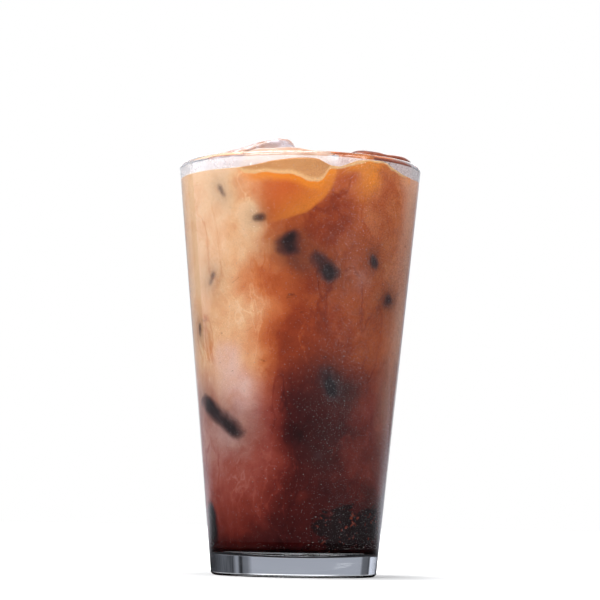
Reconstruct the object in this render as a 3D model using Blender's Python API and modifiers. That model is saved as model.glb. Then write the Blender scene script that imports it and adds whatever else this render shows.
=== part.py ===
"""Iced coffee in a tapered pint glass: the glass, the drink up to its level, and the ice that stands out of it.

Blender 4.5, metres, +Z up. The origin is the centre of the foot, on the surface that the glass stands on,
and the photographed side faces -Y.
"""

from math import cos, pi, radians, sin

import bmesh
import bpy
from mathutils import Euler, Vector, noise

# Glass: a 16 oz mixing glass, 89 mm across the rim.
GLASS_HEIGHT = 0.1500
RIM_RADIUS = 0.0445
FOOT_RADIUS = 0.0300
RIM_WALL = 0.0030
FOOT_WALL = 0.0042
FLOOR_CENTRE = 0.0076
FLOOR_EDGE = 0.0088
FLOOR_CORNER = 0.0052
HEEL_WIDTH = 0.0022
HEEL_HEIGHT = 0.0014
PUNT_RADIUS = 0.0195
PUNT_DEPTH = 0.0007

# Drink and ice.
DRINK_LEVEL = 0.1440
GAP = 0.0003
ICE_WALL_GAP = 0.0004
TRIM_TOP = 0.1700
ICE_SQUARENESS = 4.6

# Smoothness of the turned and the rounded shapes.
TURN_STEPS = 76
FLOOR_STEPS = 4
CORNER_STEPS = 6
RIM_STEPS = 7
HEEL_STEPS = 3
PUNT_STEPS = 4
ICE_CUTS = 3
ICE_LEVELS = 1

# Each ice block: size across X, Y and Z, centre, turn in degrees, dimple depth and seed of its uneven melt.
ICE_BLOCKS = {
    "ice_front": {
        "size": (0.0330, 0.0220, 0.0240),
        "centre": (-0.0045, -0.0278, 0.1396),
        "turn": (28, 3, -8),
        "dimple": 0.02,
        "seed": 3,
    },
    "ice_tall": {
        "size": (0.0340, 0.0230, 0.0290),
        "centre": (-0.0160, 0.0000, 0.1436),
        "turn": (2, -16, 5),
        "dimple": 0.02,
        "seed": 11,
    },
    "ice_right": {
        "size": (0.0270, 0.0260, 0.0260),
        "centre": (0.0270, -0.0040, 0.1415),
        "turn": (-3, 6, 12),
        "dimple": 0.05,
        "seed": 5,
    },
    "ice_chip": {
        "size": (0.0120, 0.0120, 0.0180),
        "centre": (0.0196, -0.0275, 0.1420),
        "turn": (18, -12, 28),
        "dimple": 0.02,
        "seed": 8,
    },
    "ice_back_left": {
        "size": (0.0260, 0.0220, 0.0240),
        "centre": (-0.0130, 0.0262, 0.1380),
        "turn": (5, 7, 22),
        "dimple": 0.06,
        "seed": 14,
    },
    "ice_back_right": {
        "size": (0.0240, 0.0230, 0.0250),
        "centre": (0.0160, 0.0240, 0.1365),
        "turn": (-8, 11, -17),
        "dimple": 0.05,
        "seed": 21,
    },
}
MELT_WAVE = 1.3
MELT_DEPTH = 0.06


def clear_scene():
    for old in list(bpy.data.objects):
        bpy.data.objects.remove(old, do_unlink=True)


def new_collection(name):
    made = bpy.data.collections.new(name)
    bpy.context.scene.collection.children.link(made)
    return made


def material(name, colour, roughness, transmission=0.0, ior=1.45):
    made = bpy.data.materials.new(name)
    made.use_nodes = True
    shader = made.node_tree.nodes["Principled BSDF"]
    shader.inputs["Base Color"].default_value = (*colour, 1.0)
    shader.inputs["Roughness"].default_value = roughness
    shader.inputs["Metallic"].default_value = 0.0
    shader.inputs["Transmission Weight"].default_value = transmission
    shader.inputs["IOR"].default_value = ior
    return made


def outer_radius(z):
    return FOOT_RADIUS + (RIM_RADIUS - FOOT_RADIUS) * z / GLASS_HEIGHT


def wall_thickness(z):
    return FOOT_WALL + (RIM_WALL - FOOT_WALL) * z / GLASS_HEIGHT


def inner_radius(z):
    return outer_radius(z) - wall_thickness(z)


def hollow_profile(top):
    """Radius and height along the inside of the glass, from the middle of its dished floor up to the height top."""
    wall_foot = FLOOR_EDGE + FLOOR_CORNER
    corner = Vector((inner_radius(FLOOR_EDGE), FLOOR_EDGE))
    corner_start = Vector((corner.x - FLOOR_CORNER, FLOOR_EDGE))
    corner_end = Vector((inner_radius(wall_foot), wall_foot))
    points = []
    for step in range(FLOOR_STEPS):
        out = step / FLOOR_STEPS
        points.append((corner_start.x * out, FLOOR_CENTRE + (FLOOR_EDGE - FLOOR_CENTRE) * out**2))
    for step in range(CORNER_STEPS + 1):
        t = step / CORNER_STEPS
        bend = corner_start * (1 - t) ** 2 + corner * 2 * t * (1 - t) + corner_end * t**2
        points.append((bend.x, bend.y))
    points.append((inner_radius(top), top))
    return points


def inset_profile(points, inset):
    """The same profile moved towards the axis and upwards by inset, square to its own run."""
    moved = []
    for here, (radius, height) in enumerate(points):
        before = Vector(points[max(here - 1, 0)])
        after = Vector(points[min(here + 1, len(points) - 1)])
        along = (after - before).normalized()
        moved.append((max(radius - along.y * inset, 0.0), height + along.x * inset))
    moved[0] = (0.0, moved[0][1])
    return moved


def glass_profile():
    """The whole section of the glass: up the inside, over the rim, down the outside and in across the foot."""
    rim_half = RIM_WALL / 2
    rim_foot = GLASS_HEIGHT - rim_half
    points = hollow_profile(rim_foot)
    middle = (inner_radius(rim_foot) + outer_radius(rim_foot)) / 2
    half = wall_thickness(rim_foot) / 2
    for step in range(1, RIM_STEPS + 1):
        turn = pi - pi * step / RIM_STEPS
        points.append((middle + half * cos(turn), rim_foot + rim_half * sin(turn)))
    for step in range(HEEL_STEPS + 1):
        turn = pi / 2 * step / HEEL_STEPS
        heel = outer_radius(HEEL_HEIGHT) - HEEL_WIDTH
        points.append((heel + HEEL_WIDTH * cos(turn), HEEL_HEIGHT - HEEL_HEIGHT * sin(turn)))
    for step in range(PUNT_STEPS + 1):
        turn = pi / 2 * step / PUNT_STEPS
        points.append((PUNT_RADIUS * cos(turn), PUNT_DEPTH * sin(turn)))
    points[-1] = (0.0, PUNT_DEPTH)
    return points


def turned(name, profile, collection):
    """A solid turned round the Z axis from a profile that runs down its outer side."""
    mesh = bpy.data.meshes.new(name)
    vertices = [(radius, 0.0, height) for radius, height in profile]
    edges = [(here, here + 1) for here in range(len(profile) - 1)]
    mesh.from_pydata(vertices, edges, [])
    made = bpy.data.objects.new(name, mesh)
    collection.objects.link(made)
    screw = made.modifiers.new("turn", "SCREW")
    screw.axis = "Z"
    screw.angle = 2 * pi
    screw.steps = TURN_STEPS
    screw.render_steps = TURN_STEPS
    screw.use_merge_vertices = True
    screw.merge_threshold = 0.00001
    screw.use_smooth_shade = True
    return made


def melted(point, size, dimple, seed, grow):
    """A point of a cube, from -1 to 1 each way, moved onto a rounded block with dimpled, unevenly melted faces."""
    powers = [abs(value) ** ICE_SQUARENESS for value in point]
    onto_round = sum(powers) ** (-1 / ICE_SQUARENESS)
    face_middle = max(cos(a * pi / 2) * cos(b * pi / 2) for a, b in across_faces(point))
    uneven = noise.noise(point * MELT_WAVE + Vector((seed, seed * 0.7, -seed)))
    reach = onto_round * (1 - dimple * face_middle + MELT_DEPTH * uneven)
    return Vector(value * reach * (extent / 2 + grow) for value, extent in zip(point, size))


def across_faces(point):
    """For each face of the cube that the point lies on, its two places across that face."""
    for axis in range(3):
        if abs(point[axis]) > 0.999:
            yield point[(axis + 1) % 3], point[(axis + 2) % 3]


def ice_block(name, block, collection, grow=0.0):
    """One block of ice, or with grow the room that the drink leaves for it."""
    mesh = bpy.data.meshes.new(name)
    form = bmesh.new()
    bmesh.ops.create_cube(form, size=2.0)
    bmesh.ops.subdivide_edges(form, edges=form.edges[:], cuts=ICE_CUTS, use_grid_fill=True)
    for vertex in form.verts:
        vertex.co = melted(vertex.co.copy(), block["size"], block["dimple"], block["seed"], grow)
    form.to_mesh(mesh)
    form.free()
    mesh.shade_smooth()
    made = bpy.data.objects.new(name, mesh)
    made.location = block["centre"]
    made.rotation_euler = Euler([radians(degrees) for degrees in block["turn"]])
    collection.objects.link(made)
    round_off = made.modifiers.new("melt", "SUBSURF")
    round_off.levels = ICE_LEVELS
    round_off.render_levels = ICE_LEVELS
    return made


def boolean(target, other, operation):
    modifier = target.modifiers.new(other.name, "BOOLEAN")
    modifier.object = other
    modifier.operation = operation
    modifier.solver = "EXACT"


def helper(tool):
    tool.hide_render = True
    tool.display_type = "WIRE"
    return tool


def make_glass(collection, root):
    glass = turned("glass", glass_profile(), collection)
    glass.data.materials.append(material("clear_glass", (0.93, 0.95, 0.96), 0.02, 1.0, 1.5))
    glass.parent = root


def capped(profile):
    """The profile of a solid: its flat top is closed from the axis, and its side then runs down and in."""
    return [(0.0, profile[-1][1]), *reversed(profile)]


def make_ice(collection, helpers, root):
    """The blocks, trimmed where they lean on the glass so that they follow its wall."""
    inside = inset_profile(hollow_profile(TRIM_TOP), ICE_WALL_GAP)
    room = helper(turned("room_in_glass", capped(inside), helpers))
    clear_ice = material("clear_ice", (0.95, 0.96, 0.98), 0.05, 1.0, 1.31)
    for name, block in ICE_BLOCKS.items():
        ice = ice_block(name, block, collection)
        boolean(ice, room, "INTERSECT")
        ice.data.materials.append(clear_ice)
        ice.parent = root


def make_drink(collection, helpers, root):
    """The coffee with milk, up to its level, with a pocket for each block of ice."""
    filled = inset_profile(hollow_profile(DRINK_LEVEL), GAP)
    filled[-1] = (filled[-1][0], DRINK_LEVEL)
    drink = turned("coffee", capped(filled), collection)
    drink.data.materials.append(material("milky_coffee", (0.36, 0.14, 0.05), 0.3))
    for name, block in ICE_BLOCKS.items():
        pocket = helper(ice_block("pocket_" + name, block, helpers, grow=GAP))
        boolean(drink, pocket, "DIFFERENCE")
    drink.parent = root


def main():
    clear_scene()
    parts = new_collection("iced_coffee")
    helpers = new_collection("cutters")
    root = bpy.data.objects.new("iced_coffee_origin", None)
    parts.objects.link(root)
    make_glass(parts, root)
    make_ice(parts, helpers, root)
    make_drink(parts, helpers, root)


main()
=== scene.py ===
"""Looks of an iced coffee in its pint glass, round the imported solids. Metres, +Z up, -Y is photographed."""

from math import cos, pi, radians, sin, sqrt, tau

import bmesh
import bpy
import numpy as np
from mathutils import Euler, Matrix, Vector, noise
from mathutils.bvhtree import BVHTree


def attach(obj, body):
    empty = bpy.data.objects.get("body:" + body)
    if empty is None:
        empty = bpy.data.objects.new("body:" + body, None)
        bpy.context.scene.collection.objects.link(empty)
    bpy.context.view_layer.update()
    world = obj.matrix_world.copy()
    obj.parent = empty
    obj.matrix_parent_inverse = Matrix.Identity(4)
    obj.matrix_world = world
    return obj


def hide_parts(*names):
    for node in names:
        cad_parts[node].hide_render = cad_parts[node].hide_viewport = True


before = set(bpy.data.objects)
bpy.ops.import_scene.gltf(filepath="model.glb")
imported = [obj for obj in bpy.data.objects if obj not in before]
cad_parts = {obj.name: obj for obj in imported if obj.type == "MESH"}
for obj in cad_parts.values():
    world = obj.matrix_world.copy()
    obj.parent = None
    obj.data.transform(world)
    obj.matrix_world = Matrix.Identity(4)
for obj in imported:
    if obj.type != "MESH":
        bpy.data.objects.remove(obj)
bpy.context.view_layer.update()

# The camera stands almost a metre off, low beside the foot of the glass, and looks a little up at it with a
# long lens. It is turned and rolled by the small amounts that the photograph shows.
CAMERA_PLACE = (0.0037, -0.9105, 0.0229)
CAMERA_LENS = 149.23
CAMERA_UP = 4.891
CAMERA_LEFT = 0.188
CAMERA_ROLL = 0.966

camera_data = bpy.data.cameras.new("camera")
camera_data.sensor_width = 36.0
camera_data.lens = CAMERA_LENS
camera_data.clip_start = 0.01
camera = bpy.data.objects.new("camera", camera_data)
camera.matrix_world = (
    Matrix.Translation(CAMERA_PLACE)
    @ Matrix.Rotation(radians(CAMERA_LEFT), 4, "Z")
    @ Matrix.Rotation(radians(90 + CAMERA_UP), 4, "X")
    @ Matrix.Rotation(radians(CAMERA_ROLL), 4, "Z")
)
bpy.context.scene.collection.objects.link(camera)
bpy.context.scene.camera = camera

# The glass: a 16 oz mixing glass of clear soda-lime glass, pressed in one piece, with a thick foot and a
# fire-polished rim. It is a turned shape, so its section is swept round the axis. Fine condensation fogs the
# outside of its wall down to its floor, and leaves the thick foot clear.
GLASS_HEIGHT = 0.1500
RIM_RADIUS = 0.0445
FOOT_RADIUS = 0.0300
RIM_WALL = 0.0030
FOOT_WALL = 0.0042
FLOOR_CENTRE = 0.0076
FLOOR_EDGE = 0.0088
FLOOR_CORNER = 0.0052
HEEL_WIDTH = 0.0022
HEEL_HEIGHT = 0.0014
PUNT_RADIUS = 0.0195
PUNT_DEPTH = 0.0007
FOG_BOTTOM = 0.0098
FOG_TOP = 0.1486
FROST_BOTTOM = 0.1440
GLASS_STEPS = 240
FLOOR_STEPS = 12
CORNER_STEPS = 20
RIM_STEPS = 14
WALL_ROWS = 70
HEEL_STEPS = 12
PUNT_STEPS = 8
SUPPORT = 0.00015
NEAR_THE_SKIN = 0.0004
GLASS_IOR = 1.5


def srgb(red, green, blue):
    """A colour as it looks on a screen, 0 to 255, as Blender's linear colour."""
    shares = [value / 255 for value in (red, green, blue)]
    return (*(s / 12.92 if s <= 0.04045 else ((s + 0.055) / 1.055) ** 2.4 for s in shares), 1.0)


def add(tree, kind, inputs=None, **settings):
    """A new node with its settings and its inputs, by name or number, each a value or the output feeding it."""
    node = tree.nodes.new(kind)
    for name, value in settings.items():
        setattr(node, name, value)
    for name, value in (inputs or {}).items():
        if isinstance(value, bpy.types.NodeSocket):
            tree.links.new(value, node.inputs[name])
        else:
            node.inputs[name].default_value = value
    return node


def maths(tree, operation, first, second=0.0, third=0.0):
    return add(tree, "ShaderNodeMath", {0: first, 1: second, 2: third}, operation=operation).outputs[0]


def product(tree, *factors):
    result = factors[0]
    for factor in factors[1:]:
        result = maths(tree, "MULTIPLY", result, factor)
    return result


def mapped(tree, value, low, high, to_low=0.0, to_high=1.0, smooth=False):
    """A value carried from the range low to high onto the range to_low to to_high, and held at its ends."""
    ranges = {"Value": value, "From Min": low, "From Max": high, "To Min": to_low, "To Max": to_high}
    curve = "SMOOTHSTEP" if smooth else "LINEAR"
    return add(tree, "ShaderNodeMapRange", ranges, interpolation_type=curve).outputs[0]


def patterned(tree, place, per_metre, detail, roughness=0.5, distortion=0.0):
    """Cloudy noise round 0.5, with about so many clouds to the metre."""
    look = {"Scale": per_metre, "Detail": detail, "Roughness": roughness, "Distortion": distortion}
    return add(tree, "ShaderNodeTexNoise", {"Vector": place, **look}).outputs[0]


def unevenly(tree, value, pattern, by):
    """A value raised and lowered with a pattern round 0.5."""
    return maths(tree, "MULTIPLY_ADD", maths(tree, "SUBTRACT", pattern, 0.5), by, value)


def mixed(tree, share, first, second, **settings):
    """The first colour, with the second over it by share."""
    colours = {"Factor": share, 6: first, 7: second}
    return add(tree, "ShaderNodeMix", colours, data_type="RGBA", **settings).outputs[2]


def bumps(tree, height, strength, distance):
    form = {"Height": height, "Strength": strength, "Distance": distance}
    return add(tree, "ShaderNodeBump", form).outputs[0]


def feed(tree, node, sockets):
    for label, value in sockets.items():
        tree.links.new(value, node.inputs[label])


def ramp(tree, value, stops, low=0.0, high=1.0):
    """A colour ramp over value. Its stops lie from low to high. A number as a stop stands for a grey."""
    node = add(tree, "ShaderNodeValToRGB", {0: mapped(tree, value, low, high)})
    band = node.color_ramp
    band.interpolation = "EASE" if len(stops) < 4 else "LINEAR"
    while len(band.elements) < len(stops):
        band.elements.new(0.5)
    for element, (at, colour) in zip(band.elements, stops):
        element.position = (at - low) / (high - low)
        element.color = colour if isinstance(colour, tuple) else (colour, colour, colour, 1.0)
    return node.outputs["Color"]


def group_tree(name, kind, inputs, outputs):
    """A node group with named sockets, each given as name, type and starting value."""
    tree = bpy.data.node_groups.new(name, kind)
    for label, socket_type, start in inputs:
        socket = tree.interface.new_socket(label, in_out="INPUT", socket_type=socket_type)
        if start is not None:
            socket.default_value = start
    for label, socket_type in outputs:
        tree.interface.new_socket(label, in_out="OUTPUT", socket_type=socket_type)
    return tree, tree.nodes.new("NodeGroupInput"), tree.nodes.new("NodeGroupOutput")


def turning_tree():
    """Sweeps a section, drawn as a line of points in the XZ plane, round the Z axis."""
    tree, given, out = group_tree(
        "turned_round_the_axis",
        "GeometryNodeTree",
        [("Section", "NodeSocketGeometry", None), ("Steps", "NodeSocketInt", 96),
         ("Finish", "NodeSocketMaterial", None)],
        [("Turned", "NodeSocketGeometry")],
    )
    section, steps = given.outputs["Section"], given.outputs["Steps"]
    counted = add(tree, "GeometryNodeAttributeDomainSize", {0: section}, component="MESH")
    points = counted.outputs["Point Count"]
    rows = maths(tree, "ADD", steps, 1)
    grid = add(tree, "GeometryNodeMeshGrid", {"Vertices X": rows, "Vertices Y": points})
    index = add(tree, "GeometryNodeInputIndex").outputs[0]
    row = maths(tree, "FLOOR", maths(tree, "DIVIDE", index, points))
    column = maths(tree, "MODULO", index, points)
    asked = {"Geometry": section, "Index": column}
    along = add(tree, "GeometryNodeSampleIndex", asked, data_type="FLOAT_VECTOR")
    tree.links.new(add(tree, "GeometryNodeInputPosition").outputs[0], along.inputs["Value"])
    angle = maths(tree, "MULTIPLY", maths(tree, "DIVIDE", row, steps), -tau)
    turn = {"Vector": along.outputs[0], "Angle": angle}
    around = add(tree, "ShaderNodeVectorRotate", turn, rotation_type="Z_AXIS").outputs[0]
    swept = add(tree, "GeometryNodeSetPosition", {"Geometry": grid.outputs["Mesh"], "Position": around})
    closed = add(tree, "GeometryNodeMergeByDistance", {"Geometry": swept.outputs[0], "Distance": 0.000001})
    smooth = add(tree, "GeometryNodeSetShadeSmooth", {"Geometry": closed.outputs[0]})
    real = add(tree, "GeometryNodeRealizeInstances", {"Geometry": smooth.outputs[0]})
    finished = {"Geometry": real.outputs[0], "Material": given.outputs["Finish"]}
    done = add(tree, "GeometryNodeSetMaterial", finished)
    tree.links.new(done.outputs[0], out.inputs[0])
    return tree


def made_by(tree, name, start_mesh, settings):
    """Runs a geometry node tree on a mesh, with inputs by name, and gives the result as a plain object."""
    made = bpy.data.objects.new(name, start_mesh)
    bpy.context.scene.collection.objects.link(made)
    modifier = made.modifiers.new(tree.name, "NODES")
    modifier.node_group = tree
    names = {item.name: item.identifier for item in tree.interface.items_tree if item.in_out == "INPUT"}
    for label, value in settings.items():
        modifier[names[label]] = value
    bpy.context.view_layer.update()
    result = bpy.data.meshes.new_from_object(made.evaluated_get(bpy.context.evaluated_depsgraph_get()))
    made.modifiers.clear()
    made.data = result
    result.name = name
    result.materials.clear()
    result.materials.append(settings["Finish"])
    result.polygons.foreach_set("material_index", [0] * len(result.polygons))
    return made


def line_mesh(name, points):
    mesh = bpy.data.meshes.new(name)
    edges = [(n, n + 1) for n in range(len(points) - 1)]
    mesh.from_pydata([(radius, 0.0, height) for radius, height in points], edges, [])
    return mesh


def outer_radius(z):
    return FOOT_RADIUS + (RIM_RADIUS - FOOT_RADIUS) * z / GLASS_HEIGHT


def inner_radius(z):
    return outer_radius(z) - FOOT_WALL - (RIM_WALL - FOOT_WALL) * z / GLASS_HEIGHT


def from_axis(point):
    return sqrt(point.x**2 + point.y**2)


def hollow(top, wall_step=0.002):
    """The inside of the glass as radius and height, from the middle of its dished floor up to top."""
    wall_foot = FLOOR_EDGE + FLOOR_CORNER
    corner = Vector((inner_radius(FLOOR_EDGE), FLOOR_EDGE))
    start = Vector((corner.x - FLOOR_CORNER, FLOOR_EDGE))
    end = Vector((inner_radius(wall_foot), wall_foot))
    points = []
    for step in range(FLOOR_STEPS):
        out = step / FLOOR_STEPS
        points.append((start.x * out, FLOOR_CENTRE + (FLOOR_EDGE - FLOOR_CENTRE) * out**2))
    for step in range(CORNER_STEPS + 1):
        t = step / CORNER_STEPS
        bend = start * (1 - t) ** 2 + corner * 2 * t * (1 - t) + end * t**2
        points.append((bend.x, bend.y))
    rises = max(1, round((top - wall_foot) / wall_step))
    for step in range(1, rises + 1):
        z = wall_foot + (top - wall_foot) * step / rises
        points.append((inner_radius(z), z))
    return points


def glass_section():
    """Up the inside, over the rim, down the outside, round the heel and in across the foot."""
    half = RIM_WALL / 2
    shoulder = GLASS_HEIGHT - half
    points = hollow(shoulder - SUPPORT) + [(inner_radius(shoulder), shoulder)]
    middle = (inner_radius(shoulder) + outer_radius(shoulder)) / 2
    across = (outer_radius(shoulder) - inner_radius(shoulder)) / 2
    for step in range(1, RIM_STEPS + 1):
        turn = pi - pi * step / RIM_STEPS
        points.append((middle + across * cos(turn), shoulder + half * sin(turn)))
    for z in (*np.linspace(shoulder - SUPPORT, HEEL_HEIGHT + SUPPORT, WALL_ROWS), HEEL_HEIGHT):
        points.append((outer_radius(z), z))
    heel = outer_radius(HEEL_HEIGHT) - HEEL_WIDTH
    for step in range(1, HEEL_STEPS + 1):
        turn = pi / 2 * step / HEEL_STEPS
        points.append((heel + HEEL_WIDTH * cos(turn), HEEL_HEIGHT * (1 - sin(turn))))
    points += [(heel - SUPPORT, 0.0), (PUNT_RADIUS + SUPPORT, 0.0)]
    for step in range(PUNT_STEPS + 1):
        turn = pi / 2 * step / PUNT_STEPS
        points.append((PUNT_RADIUS * cos(turn), PUNT_DEPTH * sin(turn)))
    points[-1] = (0.0, PUNT_DEPTH)
    return points


def condensation_tree():
    """Fine water on cold glass: how rough it looks, how high its beads stand, and its grain and white mist.

    The grain and the mist grow towards the right of the photographed side.
    """
    tree, given, out = group_tree(
        "condensation",
        "ShaderNodeTree",
        [("Bead Size", "NodeSocketFloat", 0.0005), ("Clear Roughness", "NodeSocketFloat", 0.02),
         ("Fog Roughness", "NodeSocketFloat", 0.25)],
        [(label, "NodeSocketFloat") for label in ("Roughness", "Height", "Grain", "Mist")],
    )
    place = add(tree, "ShaderNodeTexCoord").outputs["Object"]
    per_metre = maths(tree, "DIVIDE", 1.0, given.outputs["Bead Size"])
    cells = {"Vector": place, "Scale": per_metre, "Randomness": 1.0}
    beads = add(tree, "ShaderNodeTexVoronoi", cells, feature="F1")
    dome = mapped(tree, beads.outputs["Distance"], 0.45, 0.0, smooth=True)
    chance = add(tree, "ShaderNodeSeparateColor", {"Color": beads.outputs["Color"]}).outputs["Red"]
    height = product(tree, dome, mapped(tree, chance, 0.35, 0.6))
    drifts = mapped(tree, patterned(tree, place, 45.0, 4.0, 0.6), 0.32, 0.62)
    mottled = unevenly(tree, drifts, patterned(tree, place, 900.0, 2.0), 0.5)
    foggy = maths(tree, "MINIMUM", maths(tree, "MAXIMUM", mottled, 0.0), 1.0)
    span = maths(tree, "SUBTRACT", given.outputs["Fog Roughness"], given.outputs["Clear Roughness"])
    rough = maths(tree, "MULTIPLY_ADD", foggy, span, given.outputs["Clear Roughness"])
    across, back, up = add(tree, "ShaderNodeSeparateXYZ", {0: place}).outputs
    to_right = mapped(tree, maths(tree, "MULTIPLY_ADD", back, -0.3, across), 0.008, 0.040, 0.14)
    mist_by_height = [(0.012, 0.30), (0.060, 1.0), (0.112, 1.0), (0.134, 0.35), (0.15, 0.35)]
    rising = ramp(tree, up, mist_by_height, 0.012, 0.15)
    sand = mapped(tree, patterned(tree, place, 2300.0, 1.0), 0.38, 0.66)
    dots = mapped(tree, patterned(tree, place, 1900.0, 1.0), 0.50, 0.64)
    feed(tree, out, {
        "Roughness": rough,
        "Height": height,
        "Grain": product(tree, sand, maths(tree, "MULTIPLY_ADD", to_right, 0.75, 0.25)),
        "Mist": product(tree, to_right, rising, dots),
    })
    return tree


def see_through(name, ior, transmission=1.0):
    """A material that lamps shine through: a shader for the eye, and clear for rays that look for a lamp."""
    made = bpy.data.materials.new(name)
    made.use_nodes = True
    tree = made.node_tree
    tree.nodes.clear()
    shader = add(tree, "ShaderNodeBsdfPrincipled", {
        "Metallic": 0.0, "Transmission Weight": transmission, "IOR": ior,
    })
    open_to_light = add(tree, "ShaderNodeBsdfTransparent", {"Color": (0.95, 0.95, 0.95, 1.0)})
    for_a_lamp = add(tree, "ShaderNodeLightPath").outputs["Is Shadow Ray"]
    both = {0: for_a_lamp, 1: shader.outputs[0], 2: open_to_light.outputs[0]}
    add(tree, "ShaderNodeOutputMaterial", {"Surface": add(tree, "ShaderNodeMixShader", both).outputs[0]})
    return made, tree, shader


condensation = condensation_tree()

clear_glass, tree, shader = see_through("clear_soda_lime_glass", GLASS_IOR)
place = add(tree, "ShaderNodeTexCoord").outputs["Object"]
pressed = patterned(tree, place, 60.0, 2.0)
feed(tree, shader, {
    "Base Color": mixed(tree, pressed, srgb(240, 244, 248), srgb(250, 252, 253)),
    "Roughness": mapped(tree, pressed, 0.0, 1.0, 0.0, 0.03),
    "Normal": bumps(tree, pressed, 0.05, 0.0006),
})

fogged_glass, tree, shader = see_through("glass_fogged_with_condensation", GLASS_IOR)
shader.inputs["Sheen Weight"].default_value = 0.05
shader.inputs["Sheen Roughness"].default_value = 0.25
shader.inputs["Coat Roughness"].default_value = 0.5
shader.inputs["Coat IOR"].default_value = 2.0
water = add(tree, "ShaderNodeGroup", {
    "Bead Size": 0.0006, "Clear Roughness": 0.02, "Fog Roughness": 0.07,
}, node_tree=condensation).outputs
feed(tree, shader, {
    "Base Color": mixed(tree, water["Grain"], srgb(255, 255, 255), srgb(180, 177, 179)),
    "Roughness": water["Roughness"],
    "Coat Weight": water["Mist"],
    "Normal": bumps(tree, water["Height"], 0.25, 0.00012),
})

frosted_glass, tree, shader = see_through("glass_frosted_over_the_drink", GLASS_IOR, 0.50)
film = add(tree, "ShaderNodeGroup", {
    "Bead Size": 0.0009, "Clear Roughness": 0.10, "Fog Roughness": 0.35,
}, node_tree=condensation).outputs
feed(tree, shader, {
    "Base Color": mixed(tree, film["Grain"], srgb(252, 250, 252), srgb(226, 223, 228)),
    "Roughness": film["Roughness"],
    "Normal": bumps(tree, film["Height"], 0.4, 0.00015),
})

turned_round_the_axis = turning_tree()
outline = line_mesh("section", glass_section())
glass = made_by(turned_round_the_axis, "pint_glass", outline, {"Steps": GLASS_STEPS, "Finish": clear_glass})
glass.data.materials.append(fogged_glass)
glass.data.materials.append(frosted_glass)
for face in glass.data.polygons:
    radius, height = from_axis(face.center), face.center.z
    if radius > outer_radius(height) - NEAR_THE_SKIN and FOG_BOTTOM < height < FOG_TOP:
        face.material_index = 1
    elif radius < inner_radius(height) + NEAR_THE_SKIN and FROST_BOTTOM < height < FOG_TOP:
        face.material_index = 2
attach(glass, "root")
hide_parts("glass")

# The ice: clear cubes from a cube maker, melted to round edges and slightly hollow, uneven faces. Some float
# with their tops out of the drink, against each other and the wall. The others are wholly sunk, and come up
# to the wall with a corner or an edge.
ICE_IOR = 1.31
ICE_SQUARENESS = 4.6
MELT_WAVE = 1.3
MELT_DEPTH = 0.06
ICE_WALL_GAP = 0.0004
ICE_CUTS = 22
SUNKEN_CUTS = 11
SUNKEN_DIMPLE = 0.05
SMALL_BLOCK = 0.009
SMALL_CUTS = 5
WALL_SLOPE = 0.105

# Standing blocks: size across X, Y and Z, centre, turn in degrees, dimple depth, seed of the melt and skin.
STANDING_ICE = {
    "ice_front": ((0.0330, 0.0220, 0.0240), (-0.0045, -0.0278, 0.1396), (28, 3, -8), 0.02, 3, "creamy"),
    "ice_tall": ((0.0340, 0.0230, 0.0290), (-0.0160, 0.0000, 0.1436), (2, -16, 5), 0.02, 11, "clean"),
    "ice_right": ((0.0270, 0.0260, 0.0260), (0.0270, -0.0040, 0.1415), (-3, 6, 12), 0.05, 5, "amber"),
    "ice_chip": ((0.0120, 0.0120, 0.0180), (0.0196, -0.0275, 0.1420), (18, -12, 28), 0.02, 8, "glowing"),
    "ice_back_left": ((0.0260, 0.0220, 0.0240), (-0.0130, 0.0262, 0.1380), (5, 7, 22), 0.06, 14, "creamy"),
    "ice_back_right": ((0.0240, 0.0230, 0.0250), (0.0160, 0.0240, 0.1365), (-8, 11, -17), 0.05, 21, "clean"),
}

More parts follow.
